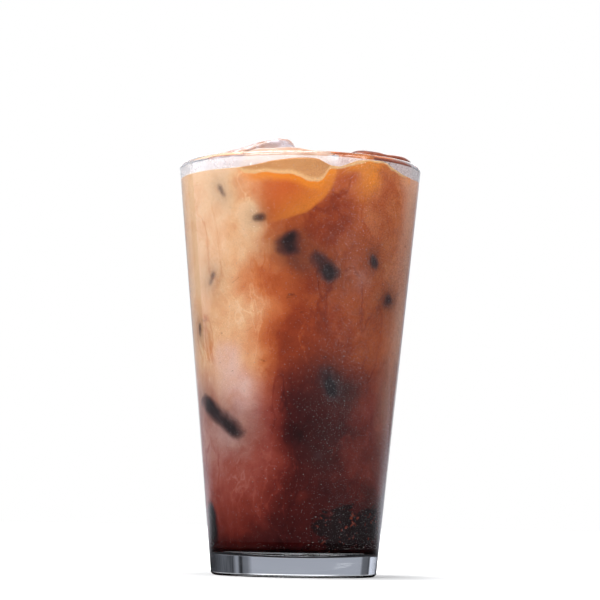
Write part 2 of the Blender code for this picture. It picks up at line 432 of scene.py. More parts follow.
# Sunken blocks: size, what points at the wall, azimuth from the photographed side in degrees, height there,
# roll of the block in degrees, film of coffee left between it and the wall, squareness and seed.
SUNKEN_ICE = [
    ((0.0230, 0.0220, 0.0250), "corner", -5.0, 0.1203, 80, 0.0002, 2.3, 31),
    ((0.0270, 0.0260, 0.0250), "edge", 14.2, 0.1114, -34, 0.0001, 2.5, 49),
    ((0.0068, 0.0062, 0.0066), "edge", 44, 0.1130, -28, 0.0004, 3.0, 32),
    ((0.0180, 0.0180, 0.0180), "corner", 58, 0.1012, 50, 0.0005, 3.0, 33),
    ((0.0200, 0.0190, 0.0340), "edge", -54.0, 0.0584, -51, 0.0001, 2.3, 34),
    ((0.0310, 0.0290, 0.0300), "edge", 21.4, 0.0706, -12, 0.0001, 2.4, 35),
    ((0.0200, 0.0200, 0.0190), "corner", 15, 0.0450, 40, 0.0010, 3.6, 36),
    ((0.0028, 0.0026, 0.0056), "edge", -42, 0.1372, -30, 0.0009, 4.0, 37),
    ((0.0050, 0.0044, 0.0046), "edge", -20.5, 0.1269, 84, 0.0006, 3.0, 38),
    ((0.0032, 0.0028, 0.0050), "edge", -53, 0.1064, 35, 0.0008, 4.6, 39),
    ((0.0040, 0.0036, 0.0044), "edge", -70, 0.0888, 5, 0.0007, 4.6, 40),
    ((0.0220, 0.0200, 0.0210), "edge", 104, 0.1120, 35, 0.0001, 6.0, 41),
    ((0.0200, 0.0190, 0.0200), "corner", 128, 0.0820, 10, 0.0002, 4.6, 42),
    ((0.0230, 0.0200, 0.0210), "edge", 176, 0.1080, -40, 0.0001, 6.0, 43),
    ((0.0200, 0.0200, 0.0190), "corner", 205, 0.0740, 65, 0.0002, 4.6, 44),
    ((0.0210, 0.0190, 0.0200), "edge", 236, 0.1130, 15, 0.0002, 5.0, 45),
    ((0.0190, 0.0180, 0.0190), "edge", 258, 0.0560, 60, 0.0002, 4.6, 46),
    ((0.0180, 0.0170, 0.0180), "corner", 92, 0.0500, 30, 0.0004, 4.6, 47),
    ((0.0190, 0.0180, 0.0190), "corner", 160, 0.0420, 5, 0.0006, 4.6, 48),
]


def across_faces(point):
    for axis in range(3):
        if abs(point[axis]) > 0.999:
            yield point[(axis + 1) % 3], point[(axis + 2) % 3]


def melted(point, size, dimple, seed, squareness):
    """A point of a cube, from -1 to 1 each way, moved onto a rounded block with dimpled, uneven faces."""
    powers = [abs(value) ** squareness for value in point]
    onto_round = sum(powers) ** (-1 / squareness)
    face_middle = max(cos(a * pi / 2) * cos(b * pi / 2) for a, b in across_faces(point))
    uneven = noise.noise(point * MELT_WAVE + Vector((seed, seed * 0.7, -seed)))
    reach = onto_round * (1 - dimple * face_middle + MELT_DEPTH * uneven)
    return Vector(value * reach * extent / 2 for value, extent in zip(point, size))


def wavy(point, seed):
    """Small ripples and pits that melting leaves on a block's skin, in metres along its outward direction."""
    away = Vector((seed * 3.1, -seed * 1.7, seed * 2.3))
    return noise.noise(point * 190 + away) * 0.00022 + noise.noise(point * 520 - away) * 0.00009


def block_mesh(size, dimple, seed, cuts, ripples=1.0, squareness=ICE_SQUARENESS):
    form = bmesh.new()
    bmesh.ops.create_cube(form, size=2.0)
    bmesh.ops.subdivide_edges(form, edges=form.edges[:], cuts=cuts, use_grid_fill=True)
    for vertex in form.verts:
        vertex.co = melted(vertex.co.copy(), size, dimple, seed, squareness)
    form.normal_update()
    shifts = [vertex.normal * wavy(vertex.co, seed) * ripples for vertex in form.verts]
    for vertex, shift in zip(form.verts, shifts):
        vertex.co += shift
    return form


def kept_inside(form, gap):
    """Melts a block back to the wall of the glass where it would reach into it."""
    for vertex in form.verts:
        radius, most = from_axis(vertex.co), inner_radius(vertex.co.z) - gap
        if radius > most:
            vertex.co.x *= most / radius
            vertex.co.y *= most / radius


def object_from(form, name, finish):
    mesh = bpy.data.meshes.new(name)
    form.to_mesh(mesh)
    form.free()
    mesh.shade_smooth()
    mesh.materials.append(finish)
    made = bpy.data.objects.new(name, mesh)
    bpy.context.scene.collection.objects.link(made)
    return made


def ice_tree():
    """Melting ice: its faint colour from the drink, its wet and its frosted skin, and fine surface pits."""
    tree, given, out = group_tree(
        "melting_ice",
        "ShaderNodeTree",
        [("Clear Colour", "NodeSocketColor", (1, 1, 1, 1)),
         ("Cloudy Colour", "NodeSocketColor", (1, 1, 1, 1)),
         ("Marks Per Metre", "NodeSocketFloat", 110.0)],
        [("Colour", "NodeSocketColor"), ("Roughness", "NodeSocketFloat"), ("Height", "NodeSocketFloat")],
    )
    place = add(tree, "ShaderNodeTexCoord").outputs["Object"]
    clouds = patterned(tree, place, given.outputs["Marks Per Metre"], 4.0, distortion=0.6)
    cloudy = mapped(tree, clouds, 0.4, 0.65)
    feed(tree, out, {
        "Colour": mixed(tree, cloudy, given.outputs["Clear Colour"], given.outputs["Cloudy Colour"]),
        "Roughness": mapped(tree, clouds, 0.4, 0.7, 0.03, 0.22),
        "Height": patterned(tree, place, 650.0, 3.0),
    })
    return tree


def ice_material(name, clear, cloudy, see_into, marks):
    made, tree, shader = see_through(name, ICE_IOR, see_into)
    skin = add(tree, "ShaderNodeGroup", {
        "Clear Colour": clear, "Cloudy Colour": cloudy, "Marks Per Metre": marks,
    }, node_tree=melting_ice).outputs
    feed(tree, shader, {
        "Base Color": skin["Colour"],
        "Roughness": skin["Roughness"],
        "Normal": bumps(tree, skin["Height"], 0.4, 0.0002),
    })
    return made


melting_ice = ice_tree()
clean_ice = ice_material("ice_washed_clean", srgb(232, 228, 236), srgb(176, 134, 108), 0.7, 170.0)
creamy_ice = ice_material(
    "ice_coated_with_milky_coffee", srgb(212, 186, 164), srgb(186, 144, 112), 0.4, 150.0
)
amber_ice = ice_material("ice_coated_with_coffee", srgb(142, 74, 44), srgb(78, 28, 20), 0.3, 420.0)
glowing_ice = ice_material("ice_chip_with_light_in_it", srgb(206, 132, 66), srgb(176, 96, 40), 0.5, 150.0)
sunken_ice_finish = ice_material("ice_in_the_drink", srgb(225, 205, 192), srgb(200, 160, 132), 0.9, 110.0)

standing_ice = []
skins = {"clean": clean_ice, "creamy": creamy_ice, "amber": amber_ice, "glowing": glowing_ice}
for name, (size, centre, turn, dimple, seed, skin) in STANDING_ICE.items():
    form = block_mesh(size, dimple, seed, ICE_CUTS)
    turned = Euler([radians(degrees) for degrees in turn]).to_matrix()
    bmesh.ops.rotate(form, verts=form.verts[:], cent=(0, 0, 0), matrix=turned)
    bmesh.ops.translate(form, verts=form.verts[:], vec=centre)
    kept_inside(form, ICE_WALL_GAP)
    block = object_from(form, name.replace("ice", "ice_block"), skins[skin])
    standing_ice.append(block)
    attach(block, "root")
    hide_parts(name)


def towards_the_wall(touch, azimuth, roll):
    """Turns a block so that its corner or its upright edge points out at the wall, rolled along the wall."""
    radial = Vector((sin(radians(azimuth)), -cos(radians(azimuth)), 0))
    along = Vector((cos(radians(azimuth)), sin(radians(azimuth)), 0))
    up_the_wall = (Vector((0, 0, 1)) + radial * WALL_SLOPE).normalized()
    outward = along.cross(up_the_wall)
    if touch == "edge":
        upright = (up_the_wall * cos(radians(roll)) + along * sin(radians(roll))).normalized()
        side = upright.cross(outward)
        first, second = (outward + side).normalized(), (outward - side).normalized()
        turned = Matrix((first, second, upright)).transposed()
        if turned.determinant() < 0:
            turned = Matrix((second, first, upright)).transposed()
        return turned, radial
    straight = Vector((1, 1, 1)).rotation_difference(outward).to_matrix()
    return Matrix.Rotation(radians(roll), 3, outward) @ straight, radial


sunken = bmesh.new()
for size, touch, azimuth, height, roll, film, squareness, seed in SUNKEN_ICE:
    cuts, ripples = (SMALL_CUTS, 0.3) if max(size) < SMALL_BLOCK else (SUNKEN_CUTS, 0.8)
    form = block_mesh(size, SUNKEN_DIMPLE, seed, cuts, ripples, squareness)
    turned, outward = towards_the_wall(touch, azimuth, roll)
    bmesh.ops.rotate(form, verts=form.verts[:], cent=(0, 0, 0), matrix=turned)
    bmesh.ops.translate(form, verts=form.verts[:], vec=outward * 0.02 + Vector((0, 0, height)))
    for _ in range(8):
        over = max(from_axis(v.co) - inner_radius(v.co.z) for v in form.verts) + film
        bmesh.ops.translate(form, verts=form.verts[:], vec=outward * -over)
    piece = bpy.data.meshes.new("block")
    form.to_mesh(piece)
    form.free()
    sunken.from_mesh(piece)
    bpy.data.meshes.remove(piece)
sunken_ice = object_from(sunken, "ice_blocks_in_the_drink", sunken_ice_finish)
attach(sunken_ice, "root")

# The drink: cold black coffee with milk poured in on top. The milk sinks in clouds and threads, so the drink
# goes from creamy tan at the top to black coffee at the foot. It fills the glass up to its level, a little
# into the wall so that no air gap shows, climbs the wall by a small meniscus, and leaves pockets for the ice.
DRINK_LEVEL = 0.1440
INTO_WALL = 0.00006
MENISCUS_RISE = 0.0009
MENISCUS_WIDTH = 0.0016
COFFEE_STEPS = 320
COFFEE_ROW = 0.0008
EDGE_STEPS = 6
SURFACE_STEPS = 40
POCKET_SHRINK = 0.985
FILM_REACH = 0.010

# The edge of the drink at the wall, by azimuth from the photographed side in degrees: how far it climbs over
# its level, which is most where ice lies close to the wall, and how deep a band of cream clings below it.
EDGE = [(-180, 0.0009, 0.0), (-32, 0.0007, 0.0), (-28, 0.0009, 0.0026), (-22, 0.0014, 0.0036),
        (-13, 0.0027, 0.0044), (-3, 0.0036, 0.0063), (5.3, 0.0038, 0.0083), (9, 0.0034, 0.0082),
        (11.5, 0.0025, 0.0067), (13.6, 0.0018, 0.0037), (15, 0.0013, 0.0016), (19.7, 0.0010, 0.0009),
        (24.3, 0.0024, 0.0012), (29, 0.0037, 0.0014), (36, 0.0043, 0.0010), (44, 0.0044, 0.0006),
        (47.5, 0.0038, 0.0008), (51, 0.0027, 0.0013), (60, 0.0010, 0.0006), (71, 0.0004, 0.0),
        (90, 0.0009, 0.0), (180, 0.0009, 0.0)]
# Milk in the coffee by height, in metres: at the middle of the photographed side, at its left, where more
# milk went and painted light from the left makes it paler still, and at its right.
MILK_MIDDLE = [(0.008, 0.14), (0.018, 0.20), (0.028, 0.25), (0.040, 0.27), (0.055, 0.27), (0.065, 0.34),
               (0.075, 0.45), (0.085, 0.52), (0.095, 0.56), (0.110, 0.60), (0.125, 0.58), (0.140, 0.66)]
MILK_LEFT_WITH_PAINTED_LIGHT = [(0.008, 0.28), (0.016, 0.45), (0.024, 0.61), (0.034, 0.69), (0.046, 0.77), (0.056, 0.81),
             (0.066, 0.84), (0.076, 0.90), (0.085, 0.96), (0.105, 0.96), (0.120, 0.97), (0.140, 0.98)]
MILK_RIGHT = [(0.008, 0.06), (0.018, 0.12), (0.028, 0.30), (0.040, 0.45), (0.055, 0.51), (0.065, 0.55),
              (0.075, 0.60), (0.085, 0.66), (0.105, 0.68), (0.120, 0.68), (0.132, 0.70), (0.140, 0.76)]
# Where more milk, or less, has gathered: place, radius and change of the milk there. The three low ones at
# the left edge, near 0.02 m up, are painted shade along the edge of the glass rather than less milk.
CLOUDS = [((0.0035, -0.0330, 0.0600), 0.022, -0.10), ((0.0110, -0.0370, 0.1280), 0.012, -0.12),
          ((0.0010, -0.0360, 0.0860), 0.016, -0.02), ((-0.0274, -0.0066, 0.0230), 0.006, -0.45),
          ((-0.0264, -0.0064, 0.0150), 0.006, -0.40), ((-0.0150, -0.0330, 0.1060), 0.012, -0.16),
          ((-0.0100, -0.0335, 0.0860), 0.012, -0.14), ((-0.0165, -0.0360, 0.1270), 0.009, 0.10),
          ((-0.0190, -0.0355, 0.1385), 0.009, -0.12), ((0.0200, -0.0270, 0.0680), 0.011, -0.14),
          ((-0.0272, -0.0072, 0.0195), 0.007, -0.35)]
# Where the drink at the wall goes near black, low at the right: places and radii.
DARK_PATCHES_LOW_RIGHT = [((0.0190, -0.0240, 0.0160), 0.013), ((0.0250, -0.0140, 0.0180), 0.012),
           ((0.0120, -0.0290, 0.0180), 0.008)]
# The fold of thin drink that hangs from the front block of ice, painted orange as a glow of light that comes
# down through the block: its middle, as place across and height, and how far it reaches to the side and down.
FOLD_MIDDLE = (-0.0118, 0.1440)
FOLD_REACH = (0.0242, 0.0187)
# Where light that comes down through the standing ice glows in the thin drink over it: place, radius and
# strength.
GLOWS = [((0.0245, -0.0318, 0.1425), 0.0075, 1.0), ((0.0215, -0.0330, 0.1370), 0.0062, 0.7)]
# Ice a little further in, which darkens the drink over it: place, radius, strength and how dark.
UPPER_SHADE, LOWER_SHADE, LOWEST_SHADE = srgb(80, 52, 46), srgb(44, 24, 23), srgb(34, 18, 19)
SHADES = [((0.0012, -0.0378, 0.1146), 0.0100, 0.70, UPPER_SHADE),
          ((-0.0030, -0.0370, 0.1130), 0.0080, 0.45, UPPER_SHADE),
          ((0.0255, -0.0275, 0.1150), 0.0050, 0.45, UPPER_SHADE),
          ((0.0308, -0.0193, 0.1010), 0.0075, 0.60, UPPER_SHADE),
          ((0.0175, -0.0285, 0.0640), 0.0085, 0.55, LOWER_SHADE),
          ((0.0125, -0.0310, 0.0745), 0.0070, 0.45, LOWER_SHADE),
          ((0.0080, -0.0325, 0.0470), 0.0100, 0.50, LOWEST_SHADE)]
# The pale veil that sinking milk leaves in black coffee: place, radius and how strong it is. A painted haze,
# for light that the fogged glass scatters, covers the right edge of the photographed side, and grows
# stronger with height.
VEILS = [((-0.0240, -0.0245, 0.0775), 0.0100, 0.75), ((-0.0215, -0.0265, 0.0650), 0.0135, 0.85),
         ((-0.0255, -0.0200, 0.0500), 0.0110, 0.50), ((0.0230, -0.0330, 0.1060), 0.008, 0.25)]
RIGHT_EDGE_PAINTED_HAZE = 0.80
RIGHT_EDGE_HAZE_RISE = [(0.02, 0.0), (0.035, 0.05), (0.055, 0.35), (0.075, 0.65), (0.09, 1.0), (0.15, 1.0)]
# Threads of milk and of coffee: how many to the metre, their width, how they change the milk, and the two
# ends of the patchy noise between which they come up.
THREADS = [(62.0, 0.020, -0.09, 0.46, 0.60), (90.0, 0.014, 0.07, 0.56, 0.42)]
# Colour of the drink by its share of milk, high in the glass and, rosier, low in it.
MILKY_COLOURS = [(0.0, srgb(16, 4, 4)), (0.14, srgb(42, 7, 6)), (0.28, srgb(70, 19, 13)),
                 (0.42, srgb(112, 40, 20)), (0.54, srgb(142, 58, 28)), (0.66, srgb(174, 86, 43)),
                 (0.76, srgb(198, 116, 68)), (0.86, srgb(214, 151, 106)), (0.95, srgb(226, 180, 138)),
                 (1.0, srgb(231, 194, 155))]
ROSY_COLOURS = [(0.0, srgb(16, 4, 5)), (0.14, srgb(42, 7, 8)), (0.28, srgb(68, 18, 15)),
                (0.42, srgb(106, 35, 26)), (0.54, srgb(132, 54, 42)), (0.66, srgb(150, 74, 62)),
                (0.76, srgb(168, 106, 94)), (0.86, srgb(196, 146, 132)), (1.0, srgb(220, 184, 172))]
ROSY_BELOW, ROSY_ABOVE = 0.060, 0.080


def swirl_tree():
    """Milk sinking through coffee, in object space: its colour, with painted glow and painted shade where ice
    lies behind thin films at the wall, and a painted haze at the right edge.
    """
    tree, given, out = group_tree(
        "milk_in_coffee",
        "ShaderNodeTree",
        [("Film Over Sunken Ice", "NodeSocketFloat", FILM_REACH),
         ("Film Over Standing Ice", "NodeSocketFloat", FILM_REACH),
         ("Above Cream Line", "NodeSocketFloat", -1.0)],
        [("Colour", "NodeSocketColor"), ("Milk", "NodeSocketFloat")],
    )

    def vector_maths(operation, output, inputs):
        return add(tree, "ShaderNodeVectorMath", inputs, operation=operation).outputs[output]

    def stretched(where, upright):
        return add(tree, "ShaderNodeMapping", {"Vector": where, "Scale": (1.0, 1.0, upright)}).outputs[0]

    def split(where):
        return add(tree, "ShaderNodeSeparateXYZ", {0: where}).outputs

    place = add(tree, "ShaderNodeTexCoord").outputs["Object"]
    tall = stretched(place, 0.62)

    def stirred(where, scale, depth, detail):
        """A place pushed about by noise, so that what is drawn by it looks stirred."""
        push = add(tree, "ShaderNodeTexNoise", {"Vector": tall, "Scale": scale, "Detail": detail})
        centred = vector_maths("SUBTRACT", 0, {0: push.outputs["Color"], 1: (0.5, 0.5, 0.5)})
        return vector_maths("ADD", 0, {0: where, 1: vector_maths("SCALE", 0, {0: centred, "Scale": depth})})

    barely = stirred(place, 60.0, 0.008, 3.0)
    swirled = stirred(stirred(place, 24.0, 0.022, 2.0), 85.0, 0.010, 5.0)

    def near_to(centre, radius):
        """One close to a place, and less and less out to radius."""
        far = vector_maths("DISTANCE", "Value", {0: barely, 1: centre})
        return mapped(tree, far, radius, radius * 0.2, smooth=True)

    across, _, height = split(swirled)
    ends = MILK_MIDDLE[0][0], MILK_MIDDLE[-1][0]
    middle, left, right = [ramp(tree, height, stops, *ends) for stops in (MILK_MIDDLE, MILK_LEFT_WITH_PAINTED_LIGHT, MILK_RIGHT)]
    # Paler to the left: partly more milk, partly painted light from the left.
    leftness = mapped(tree, across, 0.0, -0.020, smooth=True)
    rightness = mapped(tree, across, 0.012, 0.028, smooth=True)
    milk = mixed(tree, rightness, mixed(tree, leftness, middle, left), right)
    milk = unevenly(tree, milk, patterned(tree, swirled, 52.0, 7.0, 0.62), 0.36)
    curls = patterned(tree, stirred(swirled, 130.0, 0.010, 3.0), 150.0, 4.0, 0.55)
    milk = unevenly(tree, milk, curls, 0.16)
    # Clouds of milk; the three low ones at the left edge are painted shade.
    for centre, radius, change in CLOUDS:
        milk = maths(tree, "MULTIPLY_ADD", near_to(centre, radius), change, milk)
    hanging = stretched(swirled, 0.35)
    patchy = patterned(tree, place, 33.0, 1.0)
    for scale, width, change, none_at, all_at in THREADS:
        ridge = maths(tree, "ABSOLUTE", maths(tree, "SUBTRACT", patterned(tree, hanging, scale, 3.0), 0.5))
        vein = product(tree, mapped(tree, ridge, width, 0.0), mapped(tree, patchy, none_at, all_at))
        milk = maths(tree, "MULTIPLY_ADD", vein, change, milk)
    rosy = mapped(tree, height, ROSY_ABOVE, ROSY_BELOW)
    colour = mixed(tree, rosy, ramp(tree, milk, MILKY_COLOURS), ramp(tree, milk, ROSY_COLOURS))

    wispy = mapped(tree, patterned(tree, swirled, 70.0, 6.0, 0.62), 0.30, 0.62)
    for centre, radius, strength in VEILS:
        share = product(tree, near_to(centre, radius), wispy, strength)
        colour = mixed(tree, share, colour, srgb(224, 194, 188))

    # Painted glow: the fold under the front block is orange, brightest at its rim, for light down through the
    # ice.
    fold_across, fold_front, fold_up = split(stirred(place, 90.0, 0.0028, 3.0))
    aside = maths(tree, "DIVIDE", maths(tree, "SUBTRACT", fold_across, FOLD_MIDDLE[0]), FOLD_REACH[0])
    down = maths(tree, "DIVIDE", maths(tree, "SUBTRACT", fold_up, FOLD_MIDDLE[1]), FOLD_REACH[1])
    out_from_fold = maths(tree, "SQRT", maths(tree, "MULTIPLY_ADD", aside, aside, product(tree, down, down)))
    in_front = maths(tree, "LESS_THAN", fold_front, 0.0)
    glow_inside_fold = ramp(tree, out_from_fold, [(0.0, 0.9), (0.70, 0.9), (0.96, 0.55), (1.02, 0.0)], 0.0, 1.2)
    from_left = mapped(tree, fold_across, -0.0165, -0.0080, smooth=True)
    colour = mixed(tree, product(tree, glow_inside_fold, from_left, in_front), colour, srgb(190, 95, 44))
    rim_stops = [(0.52, 0.0), (0.80, 0.60), (0.96, 0.95), (0.985, 0.90), (1.03, 0.0)]
    glow_along_fold_rim = ramp(tree, out_from_fold, rim_stops, 0.5, 1.1)
    to_the_right = mapped(tree, fold_across, -0.0160, 0.0020, smooth=True)
    colour = mixed(tree, product(tree, glow_along_fold_rim, to_the_right, in_front), colour, srgb(210, 125, 48))

    # Painted haze at the right edge, for light that the fogged glass scatters, laid pale into the drink.
    haze_across, haze_front, haze_up = split(stirred(place, 48.0, 0.014, 4.0))
    leaning = maths(tree, "MULTIPLY_ADD", haze_up, -0.10, haze_across)
    at_right_edge = mapped(tree, leaning, 0.0175, 0.0280, smooth=True)
    not_behind = mapped(tree, haze_front, 0.010, -0.010, smooth=True)
    rise = product(
        tree, ramp(tree, haze_up, RIGHT_EDGE_HAZE_RISE, 0.02, 0.15), maths(tree, "MULTIPLY_ADD", wispy, 0.35, 0.65)
    )
    share = product(tree, product(tree, at_right_edge, not_behind), rise, RIGHT_EDGE_PAINTED_HAZE)
    colour = mixed(tree, share, colour, srgb(238, 197, 168))

    # Near-black patches, flecked red-brown, low at the right of the wall.
    dark_patch_noise = patterned(tree, stretched(barely, 2.0), 170.0, 5.0, 0.65, 0.8)
    in_dark_patch = near_to(*DARK_PATCHES_LOW_RIGHT[0])
    for more in DARK_PATCHES_LOW_RIGHT[1:]:
        in_dark_patch = maths(tree, "MAXIMUM", in_dark_patch, near_to(*more))
    dark_patch_share = mapped(tree, unevenly(tree, in_dark_patch, dark_patch_noise, 1.8), 0.30, 0.48)
    fleck = mapped(tree, patterned(tree, place, 520.0, 2.0), 0.60, 0.70)
    dark_patch_colour = mixed(tree, fleck, srgb(22, 15, 17), srgb(112, 44, 28))
    colour = mixed(tree, product(tree, dark_patch_share, 0.88), colour, dark_patch_colour)

    ragged = patterned(tree, place, 260.0, 3.0)

    def seen_through(film, depth, uneven):
        """How much of what lies behind a film shows: less and less with its depth."""
        deep = maths(tree, "MAXIMUM", unevenly(tree, film, ragged, uneven), 0.0)
        return maths(tree, "EXPONENT", maths(tree, "DIVIDE", deep, -depth))

    over_standing = seen_through(given.outputs["Film Over Standing Ice"], 0.0030, 0.0012)
    for centre, radius, strength in GLOWS:
        share = product(tree, near_to(centre, radius), over_standing, strength)
        colour = mixed(tree, share, colour, srgb(228, 138, 40))
    for centre, radius, strength, dark in SHADES:
        colour = mixed(tree, product(tree, near_to(centre, radius), wispy, strength), colour, dark)

    line = unevenly(tree, given.outputs["Above Cream Line"], patterned(tree, place, 150.0, 2.0), 0.0022)
    glowing = mapped(tree, line, -0.0036, -0.0004, smooth=True)
    off_the_left = mapped(tree, split(place)[0], -0.0230, -0.0130)
    share = product(tree, glowing, off_the_left, over_standing, 0.9)
    colour = mixed(tree, share, colour, srgb(228, 138, 42))
    creamy = mapped(tree, line, -0.0001, 0.0006, smooth=True)
    along_the_line = mapped(tree, line, 0.0022, 0.0009, smooth=True)
    pale = maths(tree, "MULTIPLY_ADD", ragged, 0.3, product(tree, along_the_line, 0.7))
    cream = mixed(tree, pale, srgb(188, 133, 85), srgb(223, 183, 132))
    colour = mixed(tree, product(tree, creamy, 0.95), colour, cream)

    # Painted shade where sunken ice lies just behind the thin drink at the wall, near black where it touches.
    over_sunken = seen_through(given.outputs["Film Over Sunken Ice"], 0.0022, 0.0008)
    faint_shade_over_ice = seen_through(given.outputs["Film Over Sunken Ice"], 0.0036, 0.0010)
    colour = mixed(tree, product(tree, faint_shade_over_ice, 0.50), colour, srgb(54, 34, 32))
    shade_near_ice = mapped(tree, over_sunken, 0.46, 0.70, smooth=True)
    colour = mixed(tree, product(tree, shade_near_ice, 0.78), colour, srgb(62, 38, 40))
    shade_at_ice = mapped(tree, over_sunken, 0.62, 0.84, smooth=True)
    colour = mixed(tree, product(tree, shade_at_ice, 0.90), colour, srgb(30, 25, 29))
    feed(tree, out, {"Colour": colour, "Milk": milk})
    return tree


def drink_material(name, roughness, specular, ior=1.34):
    made = bpy.data.materials.new(name)
    made.use_nodes = True
    tree = made.node_tree
    shader = tree.nodes["Principled BSDF"]
    shader.inputs["Metallic"].default_value = 0.0
    shader.inputs["Specular IOR Level"].default_value = specular
    shader.inputs["IOR"].default_value = ior
    swirl = add(tree, "ShaderNodeGroup", {}, node_tree=milk_in_coffee)
    for label in ("Film Over Sunken Ice", "Film Over Standing Ice", "Above Cream Line"):
        measured = add(tree, "ShaderNodeAttribute", attribute_name=label.lower().replace(" ", "_"))
        tree.links.new(measured.outputs["Fac"], swirl.inputs[label])
    milk = swirl.outputs["Milk"]
    feed(tree, shader, {
        "Base Color": swirl.outputs["Colour"],
        "Roughness": mapped(tree, milk, 0.0, 1.0, roughness, roughness + 0.1),
        "Normal": bumps(tree, milk, 0.1, 0.0003),
    })
    return made


def drink_section():
    """From the axis out across the surface, over the meniscus, down the wall and in across the floor."""
    inside = hollow(DRINK_LEVEL, COFFEE_ROW)
    for step in range(1, EDGE_STEPS + 1):
        z = DRINK_LEVEL + MENISCUS_RISE * step / EDGE_STEPS
        inside.append((inner_radius(z), z))
    points = []
    for n, (radius, height) in enumerate(inside):
        before = Vector(inside[max(n - 1, 0)])
        after = Vector(inside[min(n + 1, len(inside) - 1)])
        along = (after - before).normalized()
        points.append((max(radius + along.y * INTO_WALL, 0.0), height - along.x * INTO_WALL))
    points[0] = (0.0, points[0][1])
    edge = points[-1][0]
    for step in range(1, EDGE_STEPS + 1):
        out = step / EDGE_STEPS
        points.append((edge - MENISCUS_WIDTH * out, DRINK_LEVEL + MENISCUS_RISE * (1 - out) ** 2.2))
    shore = points[-1][0]
    for step in range(1, SURFACE_STEPS + 1):
        points.append((shore * (1 - step / SURFACE_STEPS), DRINK_LEVEL))
    points[-1] = (0.0, DRINK_LEVEL)
    return points[::-1]


milk_in_coffee = swirl_tree()
coffee_at_the_wall = drink_material("milky_coffee_at_the_wall", 0.45, 0.15)
coffee_surface = drink_material("milky_coffee_surface", 0.08, 0.5)
coffee_at_the_floor = drink_material("milky_coffee_at_the_floor", 0.02, 0.5, 5.0)


def edge_at(x, y):
    """How far the drink climbs over its level at the wall there, and how deep the cream hangs below."""
    azimuth = np.degrees(np.arctan2(x, -y))
    at, rise, cream = np.transpose(EDGE)
    return np.interp(azimuth, at, rise), np.interp(azimuth, at, cream)


outline = line_mesh("section", drink_section())
drink = made_by(
    turned_round_the_axis, "milky_coffee", outline, {"Steps": COFFEE_STEPS, "Finish": coffee_at_the_wall}
)
for vertex in drink.data.vertices:
    over = vertex.co.z - DRINK_LEVEL
    if over > 0.000001:
        radius = from_axis(vertex.co)
        inset = inner_radius(vertex.co.z) - radius
        vertex.co.z = DRINK_LEVEL + over * edge_at(vertex.co.x, vertex.co.y)[0] / MENISCUS_RISE
        share = (inner_radius(vertex.co.z) - inset) / radius
        vertex.co.x *= share
        vertex.co.y *= share
pockets = bmesh.new()
for block in standing_ice:
    middle = sum((v.co for v in block.data.vertices), Vector()) / len(block.data.vertices)
    pocket = block.data.copy()
    smaller = Matrix.Translation(middle) @ Matrix.Scale(POCKET_SHRINK, 4) @ Matrix.Translation(-middle)
    pocket.transform(smaller)
    pockets.from_mesh(pocket)
    bpy.data.meshes.remove(pocket)
pocket_shapes = object_from(pockets, "pockets", coffee_surface)
cut = drink.modifiers.new("pockets", "BOOLEAN")
cut.object = pocket_shapes
cut.operation = "DIFFERENCE"
cut.solver = "MANIFOLD"
bpy.context.view_layer.update()
cut_mesh = bpy.data.meshes.new_from_object(drink.evaluated_get(bpy.context.evaluated_depsgraph_get()))
drink.modifiers.clear()
drink.data = cut_mesh
bpy.data.objects.remove(pocket_shapes)
cut_mesh.materials.clear()
for finish in (coffee_at_the_wall, coffee_surface, coffee_at_the_floor):
    cut_mesh.materials.append(finish)
for face in cut_mesh.polygons:
    radius, height = from_axis(face.center), face.center.z
    at_wall = radius > inner_radius(height) - 0.0001
    face.material_index = 2 if height < FLOOR_EDGE + NEAR_THE_SKIN else 0 if at_wall else 1


def one_shape(blocks):
    """The faces of all the blocks together, ready for finding the nearest one."""
    shapes = bmesh.new()
    for block in blocks:
        shapes.from_mesh(block.data)
    faces = BVHTree.FromBMesh(shapes)
    shapes.free()
    return faces


def film_depths(mesh, shapes):
    """For each point at the wall, how thick the drink is over the nearest ice, for each shape of ice."""
    depths = np.full((len(shapes), len(mesh.vertices)), FILM_REACH, np.float32)
    for n, vertex in enumerate(mesh.vertices):
        if from_axis(vertex.co) < inner_radius(vertex.co.z) - 0.0002 or vertex.co.z < FLOOR_EDGE:
            continue
        for row, ice in enumerate(shapes):
            nearest = ice.find_nearest(vertex.co, FILM_REACH)
            if nearest[0] is not None:
                depths[row, n] = nearest[3]
    return depths


over_sunken, over_standing = film_depths(cut_mesh, [one_shape([sunken_ice]), one_shape(standing_ice)])
x, y, z = np.array([vertex.co for vertex in cut_mesh.vertices]).T
climb, cream = edge_at(x, y)
above_cream = np.where(cream > 0.0001, z - DRINK_LEVEL - climb + cream, -0.01)
for label, values in (
    ("film_over_sunken_ice", over_sunken),
    ("film_over_standing_ice", over_standing),
    ("above_cream_line", above_cream),
):
    cut_mesh.attributes.new(label, "FLOAT", "POINT").data.foreach_set("value", values)
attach(drink, "root")
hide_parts("coffee")

# The condensation: beads of water that the cold glass draws from the air. They sit on the outside of the
# wall from below the rim to the level of the floor, fine mist everywhere and larger beads among it.
WATER_IOR = 1.33
BEAD_FLATNESS = 0.55
OFF_THE_GLASS = 0.00001
WALL_FACES_ROUND = 120
WALL_FACES_UP = 60

# Name, sides and rings of one bead, beads to the square metre, least space between them, smallest and
# largest radius, how thin they lie at the left, and seed.
BEADS = [("condensation_mist", 4, 1, 2600000, 0.00046, 0.00005, 0.00010, 0.25, 5),
         ("condensation_beads", 8, 2, 60000, 0.0016, 0.00008, 0.00014, 0.6, 9)]


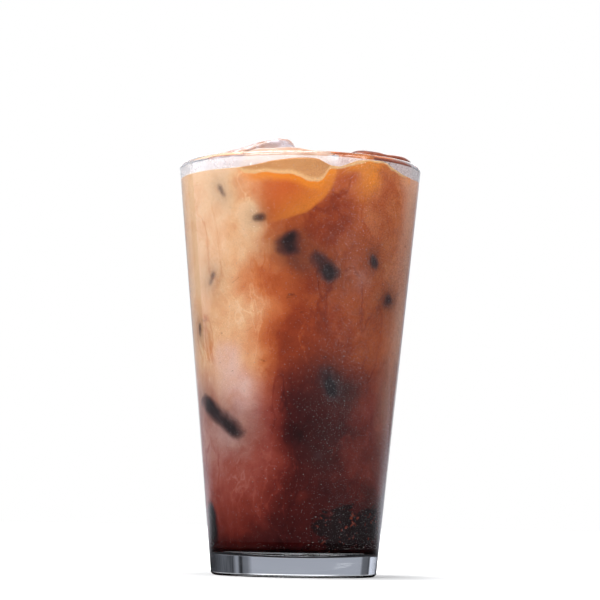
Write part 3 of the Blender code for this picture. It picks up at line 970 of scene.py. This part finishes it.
def bead_mesh(name, sides, rings):
    """A closed dome of unit radius with a flat base, which stands along +Z."""
    form = bmesh.new()
    top = form.verts.new((0, 0, BEAD_FLATNESS))
    loops = []
    for ring in range(1, rings + 1):
        rise = pi / 2 * (1 - ring / rings)
        turns = [tau * n / sides for n in range(sides)]
        out, height = cos(rise), sin(rise) * BEAD_FLATNESS
        loops.append([form.verts.new((out * cos(turn), out * sin(turn), height)) for turn in turns])
    for n in range(sides):
        after = (n + 1) % sides
        form.faces.new((top, loops[0][n], loops[0][after]))
        for upper, lower in zip(loops, loops[1:]):
            form.faces.new((upper[n], lower[n], lower[after], upper[after]))
    form.faces.new(loops[-1][::-1])
    return object_from(form, name, condensed_water)


def beads_tree():
    """Scatters copies of a bead over a surface, each of its own size, with their bases on it."""
    tree, given, out = group_tree(
        "beads_on_the_wall",
        "GeometryNodeTree",
        [
            ("Wall", "NodeSocketGeometry", None), ("Bead", "NodeSocketObject", None),
            ("Per Square Metre", "NodeSocketFloat", 1e5), ("Spacing", "NodeSocketFloat", 0.0),
            ("Smallest", "NodeSocketFloat", 0.0001), ("Largest", "NodeSocketFloat", 0.0003),
            ("Thinnest", "NodeSocketFloat", 1.0), ("Seed", "NodeSocketInt", 0),
            ("Finish", "NodeSocketMaterial", None),
        ],
        [("Beads", "NodeSocketGeometry")],
    )
    position = add(tree, "GeometryNodeInputPosition").outputs[0]
    across, back, _ = add(tree, "ShaderNodeSeparateXYZ", {0: position}).outputs
    to_right = maths(tree, "MULTIPLY_ADD", back, -0.35, across)
    crowded = mapped(tree, to_right, 0.012, 0.034, given.outputs["Thinnest"], smooth=True)
    spread = add(tree, "GeometryNodeDistributePointsOnFaces", {
        "Mesh": given.outputs["Wall"], "Distance Min": given.outputs["Spacing"], "Density Factor": crowded,
        "Density Max": given.outputs["Per Square Metre"], "Seed": given.outputs["Seed"],
    }, distribute_method="POISSON")
    chance = add(tree, "FunctionNodeRandomValue", {"Seed": given.outputs["Seed"]}, data_type="FLOAT")
    skew = maths(tree, "POWER", chance.outputs[1], 2.2)
    span = maths(tree, "SUBTRACT", given.outputs["Largest"], given.outputs["Smallest"])
    size = maths(tree, "MULTIPLY_ADD", skew, span, given.outputs["Smallest"])
    shape = add(tree, "GeometryNodeObjectInfo", {"Object": given.outputs["Bead"]})
    lifted = add(tree, "GeometryNodeSetPosition", {"Geometry": spread.outputs["Points"]})
    outwards = {0: spread.outputs["Normal"], "Scale": OFF_THE_GLASS}
    lift = add(tree, "ShaderNodeVectorMath", outwards, operation="SCALE")
    tree.links.new(lift.outputs[0], lifted.inputs["Offset"])
    copies = add(tree, "GeometryNodeInstanceOnPoints", {
        "Points": lifted.outputs[0], "Instance": shape.outputs["Geometry"],
        "Rotation": spread.outputs["Rotation"], "Scale": size,
    })
    real = add(tree, "GeometryNodeRealizeInstances", {"Geometry": copies.outputs[0]})
    smooth = add(tree, "GeometryNodeSetShadeSmooth", {"Geometry": real.outputs[0]})
    finished = {"Geometry": smooth.outputs[0], "Material": given.outputs["Finish"]}
    done = add(tree, "GeometryNodeSetMaterial", finished)
    tree.links.new(done.outputs[0], out.inputs[0])
    return tree


condensed_water, tree, shader = see_through("condensed_water", WATER_IOR, 0.7)
place = add(tree, "ShaderNodeTexCoord").outputs["Object"]
skin = patterned(tree, place, 2500.0, 1.0)
feed(tree, shader, {
    "Base Color": mixed(tree, skin, srgb(246, 248, 250), srgb(255, 255, 255)),
    "Roughness": mapped(tree, skin, 0.0, 1.0, 0.02, 0.12),
})

beads_on_the_wall = beads_tree()
heights = np.linspace(FOG_TOP - NEAR_THE_SKIN, FOG_BOTTOM + NEAR_THE_SKIN, WALL_FACES_UP)
wall_line = [(outer_radius(z), z) for z in heights]
for name, sides, rings, per_square_metre, spacing, smallest, largest, thinnest, seed in BEADS:
    bead = bead_mesh("one_bead", sides, rings)
    wall = made_by(turned_round_the_axis, "wall", line_mesh("wall_section", wall_line), {
        "Steps": WALL_FACES_ROUND, "Finish": condensed_water,
    })
    beads = made_by(beads_on_the_wall, name, wall.data, {
        "Bead": bead, "Per Square Metre": per_square_metre, "Spacing": spacing, "Smallest": smallest,
        "Largest": largest, "Thinnest": thinnest, "Seed": seed, "Finish": condensed_water,
    })
    bpy.data.objects.remove(wall)
    bpy.data.objects.remove(bead)
    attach(beads, "root")

# The studio: a plain pale table and background, with soft lights at the left, at the right and overhead. The
# camera sees the table and the background pure white. What the glass shows in its foot and its faint
# reflections is less lit: grey behind it, and darker at the sides and in front, where no lamp shines on it.
FLOOR_SIZE = 6.0

# How light the studio looks from the glass, by direction in degrees round from behind it towards its right:
# first the background a little above the table, which the foot shows, then the table itself.
BACKGROUND_TONES = [(-180, 0.05), (-112, 0.05), (-98, 0.92), (-56, 0.92), (-54, 0.05), (-51, 0.13),
                    (-43, 0.15), (-41, 0.40), (20, 0.40), (22, 0.18), (25.5, 0.15), (26, 0.02), (28, 0.03),
                    (29, 0.28), (31.5, 0.28), (33, 0.07), (44, 0.12), (60, 0.06), (92, 0.08), (112, 0.05),
                    (180, 0.05)]
TABLE_TONES = [(-180, 0.04), (-110, 0.05), (-60, 0.16), (-35, 0.85), (35, 0.85), (60, 0.16), (110, 0.05),
               (180, 0.04)]


def round_about_tree():
    """The direction of a vector round the glass, in degrees: 0 behind it, 90 at its right."""
    tree, given, out = group_tree(
        "round_the_glass",
        "ShaderNodeTree",
        [("Direction", "NodeSocketVector", None)],
        [("Degrees", "NodeSocketFloat")],
    )
    across, behind, _ = add(tree, "ShaderNodeSeparateXYZ", {0: given.outputs["Direction"]}).outputs
    feed(tree, out, {"Degrees": maths(tree, "MULTIPLY", maths(tree, "ARCTAN2", across, behind), 180 / pi)})
    return tree


round_the_glass = round_about_tree()

floor_form = bmesh.new()
bmesh.ops.create_grid(floor_form, x_segments=4, y_segments=4, size=FLOOR_SIZE / 2)
table_top = bpy.data.materials.new("pale_table")
table_top.use_nodes = True
tree = table_top.node_tree
shader = tree.nodes["Principled BSDF"]
shader.inputs["Roughness"].default_value = 0.9
shader.inputs["Specular IOR Level"].default_value = 0.0
shader.inputs["Emission Strength"].default_value = 1.0
place = add(tree, "ShaderNodeTexCoord").outputs["Object"]
to_camera = add(tree, "ShaderNodeLightPath").outputs["Is Camera Ray"]
pale = mixed(tree, patterned(tree, place, 8.0, 2.0), srgb(197, 197, 197), srgb(200, 200, 200))
turn = add(tree, "ShaderNodeGroup", {"Direction": place}, node_tree=round_the_glass).outputs[0]
tone = ramp(tree, turn, TABLE_TONES, -180, 180)
dim = mixed(tree, 1.0, tone, (0.50, 0.51, 0.55, 1.0), blend_type="MULTIPLY")
out_from_glass = add(tree, "ShaderNodeVectorMath", {0: place}, operation="LENGTH").outputs["Value"]
in_its_shade = mapped(tree, out_from_glass, 0.09, 0.60, 0.05, 1.25)
dim = add(tree, "ShaderNodeVectorMath", {0: dim, "Scale": in_its_shade}, operation="SCALE").outputs[0]
far_off = mapped(tree, out_from_glass, 0.036, 0.11, smooth=True)
feed(tree, shader, {
    "Base Color": mixed(tree, to_camera, dim, pale),
    "Emission Color": product(tree, far_off, to_camera),
})
floor = object_from(floor_form, "table", table_top)

world = bpy.data.worlds.new("studio")
bpy.context.scene.world = world
world.use_nodes = True
tree = world.node_tree
background = tree.nodes["Background"]
background.inputs["Strength"].default_value = 1.0
direction = add(tree, "ShaderNodeTexCoord").outputs["Generated"]
up = add(tree, "ShaderNodeSeparateXYZ", {0: direction}).outputs["Z"]
turn = add(tree, "ShaderNodeGroup", {"Direction": direction}, node_tree=round_the_glass).outputs[0]
tone = ramp(tree, turn, BACKGROUND_TONES, -180, 180)
uneven = mapped(tree, patterned(tree, direction, 60.0, 3.0), 0.3, 0.7, 0.55, 1.45)
at_right = ramp(tree, turn, [(31.5, 0.0), (34.0, 1.0), (90.0, 1.0)], 31.5, 90.0)
mottled = add(tree, "ShaderNodeMix", {"Factor": at_right, 2: 1.0, 3: uneven}).outputs[0]
dim = mixed(tree, 1.0, tone, (0.96, 1.0, 1.14, 1.0), blend_type="MULTIPLY")
dim = add(tree, "ShaderNodeVectorMath", {0: dim, "Scale": mottled}, operation="SCALE").outputs[0]
straight_behind = ramp(tree, turn, [(-24, 0.0), (-14, 1.0), (14, 1.0), (24, 0.0)], -24, 24)
low, high = mapped(tree, up, 0.046, 0.034), mapped(tree, up, 0.104, 0.128)
bright = product(tree, straight_behind, maths(tree, "ADD", low, high))
overhead = mapped(tree, up, 0.18, 0.30)
soft = mixed(tree, maths(tree, "MAXIMUM", bright, overhead), dim, (0.84, 0.85, 0.88, 1.0))
between = product(tree, mapped(tree, up, 0.13, 0.17), mapped(tree, up, 0.50, 0.42))
soft = mixed(tree, product(tree, straight_behind, between), soft, (1.9, 1.9, 1.95, 1.0))
to_camera = add(tree, "ShaderNodeLightPath").outputs["Is Camera Ray"]
feed(tree, background, {"Color": mixed(tree, to_camera, soft, (1.0, 1.0, 1.0, 1.0))})

for name, place, size, power in (
    ("left_softbox", (-0.55, -0.75, 0.55), 0.6, 6.4),
    ("right_softbox", (0.70, -0.60, 0.45), 0.6, 4.6),
    ("overhead_softbox", (-0.16, 0.04, 0.95), 0.6, 9.5),
):
    lamp = bpy.data.lights.new(name, "AREA")
    lamp.shape = "SQUARE"
    lamp.size = size
    lamp.energy = power
    holder = bpy.data.objects.new(name, lamp)
    holder.location = place
    holder.rotation_euler = (Vector((0, 0, 0.08)) - Vector(place)).to_track_quat("-Z", "Y").to_euler()
    bpy.context.scene.collection.objects.link(holder)

bpy.context.scene.view_settings.view_transform = "Standard"
